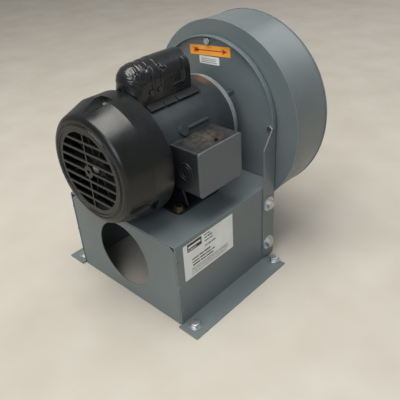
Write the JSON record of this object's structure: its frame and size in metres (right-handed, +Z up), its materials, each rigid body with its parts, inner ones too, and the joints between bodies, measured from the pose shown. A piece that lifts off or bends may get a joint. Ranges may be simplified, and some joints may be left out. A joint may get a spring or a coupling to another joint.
{
  "type": "centrifugal blower",
  "caption": "Direct-drive centrifugal blower: scroll housing with round inlet and flanged outlet, paddle wheel on a fan-cooled motor, bent sheet-steel pedestal",
  "frame": {"origin": "centre of the four foot bolt holes, on the floor plane", "axes": "+Z up, +Y along the shaft from the motor to the inlet, +X to the right seen from the motor end; the outlet faces -X"},
  "size_m": [0.3504, 0.3818, 0.3874],
  "materials": {
    "gray_enamel": "semi-gloss grey-green enamel on sheet steel",
    "black_enamel": "satin black enamel on steel and cast metal",
    "black_gloss": "glossy black",
    "zinc_steel": "bright zinc plate",
    "yellow_zinc": "yellow chromated zinc plate",
    "machined_steel": "ground and turned",
    "core_steel": "stacked electrical steel, oil-dark",
    "cast_aluminium": "die cast",
    "wheel_paint": "satin dark grey enamel",
    "copper_varnish": "varnished magnet wire",
    "brass_sheet": "pressed, plain",
    "fan_polymer": "moulded, matte",
    "spool_polymer": "moulded, natural",
    "board_laminate": "phenolic laminate",
    "rubber_black": "matte",
    "black_oxide": "black oxide",
    "label_white": "blank printed film",
    "label_orange": "printed film"
  },
  "bodies": {
    "frame": {"pedestal_shell": "gray_enamel", "pedestal_end_plate": "gray_enamel", "drive_plate": "gray_enamel", "scroll_drive_side": "gray_enamel", "scroll_wrapper": "gray_enamel", "scroll_inlet_side": "gray_enamel", "inlet_collar": "gray_enamel", "inlet_rivets": "zinc_steel", "outlet_flange": "gray_enamel", "drive_plate_gasket": "rubber_black", "drive_plate_bolts": "zinc_steel", "drive_plate_nuts": "zinc_steel", "pedestal_side_bolts": "zinc_steel", "pedestal_side_washers": "zinc_steel", "pedestal_side_nuts": "zinc_steel", "motor_base": "black_enamel", "motor_base_bolts": "yellow_zinc", "motor_base_nuts": "zinc_steel", "motor_shell": "black_enamel", "stator_core": "core_steel", "stator_windings": "copper_varnish", "drive_end_shield": "black_enamel", "fan_end_shield": "black_enamel", "motor_through_bolts": "zinc_steel", "motor_stud_nuts": "gray_enamel", "drive_bearing_outer": "machined_steel", "fan_bearing_outer": "machined_steel", "wave_washer": "machined_steel", "fan_cover": "black_enamel", "fan_cover_screws": "zinc_steel", "capacitor_saddle": "black_enamel", "capacitor": "cast_aluminium", "capacitor_cover": "black_gloss", "capacitor_cover_screws": "black_enamel", "terminal_box": "black_enamel", "terminal_box_cover": "black_enamel", "terminal_box_screws": "black_oxide", "knockout_plug": "black_enamel", "terminal_block": "board_laminate", "switch_plate": "board_laminate", "shaft_seal": "rubber_black", "rating_label": "label_white", "rotation_label": "label_orange", "service_label": "label_white"},
    "rotor": {"motor_shaft": "machined_steel", "rotor_core": "core_steel", "rotor_end_rings": "cast_aluminium", "drive_bearing_inner": "machined_steel", "fan_bearing_inner": "machined_steel", "cooling_fan": "fan_polymer", "wheel_hub": "machined_steel", "wheel_backplate": "wheel_paint", "wheel_blades": "wheel_paint", "wheel_set_screws": "black_oxide", "governor_plate": "brass_sheet"},
    "spool": {"governor_spool": "spool_polymer"},
    "upper_weight": {"governor_weight_upper": "machined_steel"},
    "lower_weight": {"governor_weight_lower": "machined_steel"},
    "cages": {"bearing_balls": "machined_steel", "bearing_cages": "brass_sheet"}
  },
  "joints": [
    {"name": "rotor_spin", "type": "hinge", "parent": "frame", "child": "rotor", "pos_m": [0, 0, 0.2402], "axis": [0, 1, 0], "continuous": true},
    {"name": "cage_spin", "type": "hinge", "parent": "frame", "child": "cages", "pos_m": [0, 0, 0.2402], "axis": [0, 1, 0], "continuous": true},
    {"name": "governor_slide", "type": "slide", "parent": "rotor", "child": "spool", "axis": [0, 1, 0], "range_m": [0, 0.0025], "stiffness_N_per_m": 400},
    {"name": "upper_weight_swing", "type": "hinge", "parent": "rotor", "child": "upper_weight", "pos_m": [0, -0.048, 0.2622], "axis": [1, 0, 0], "range_deg": [0, 15]},
    {"name": "lower_weight_swing", "type": "hinge", "parent": "rotor", "child": "lower_weight", "pos_m": [0, -0.048, 0.2182], "axis": [-1, 0, 0], "range_deg": [0, 15]}
  ],
  "couplings": [
    {"joint": "cage_spin", "follows": "rotor_spin", "ratio": 0.3816},
    {"joint": "upper_weight_swing", "follows": "governor_slide", "rad_per_m": 104.7},
    {"joint": "lower_weight_swing", "follows": "governor_slide", "rad_per_m": 104.7}
  ]
}
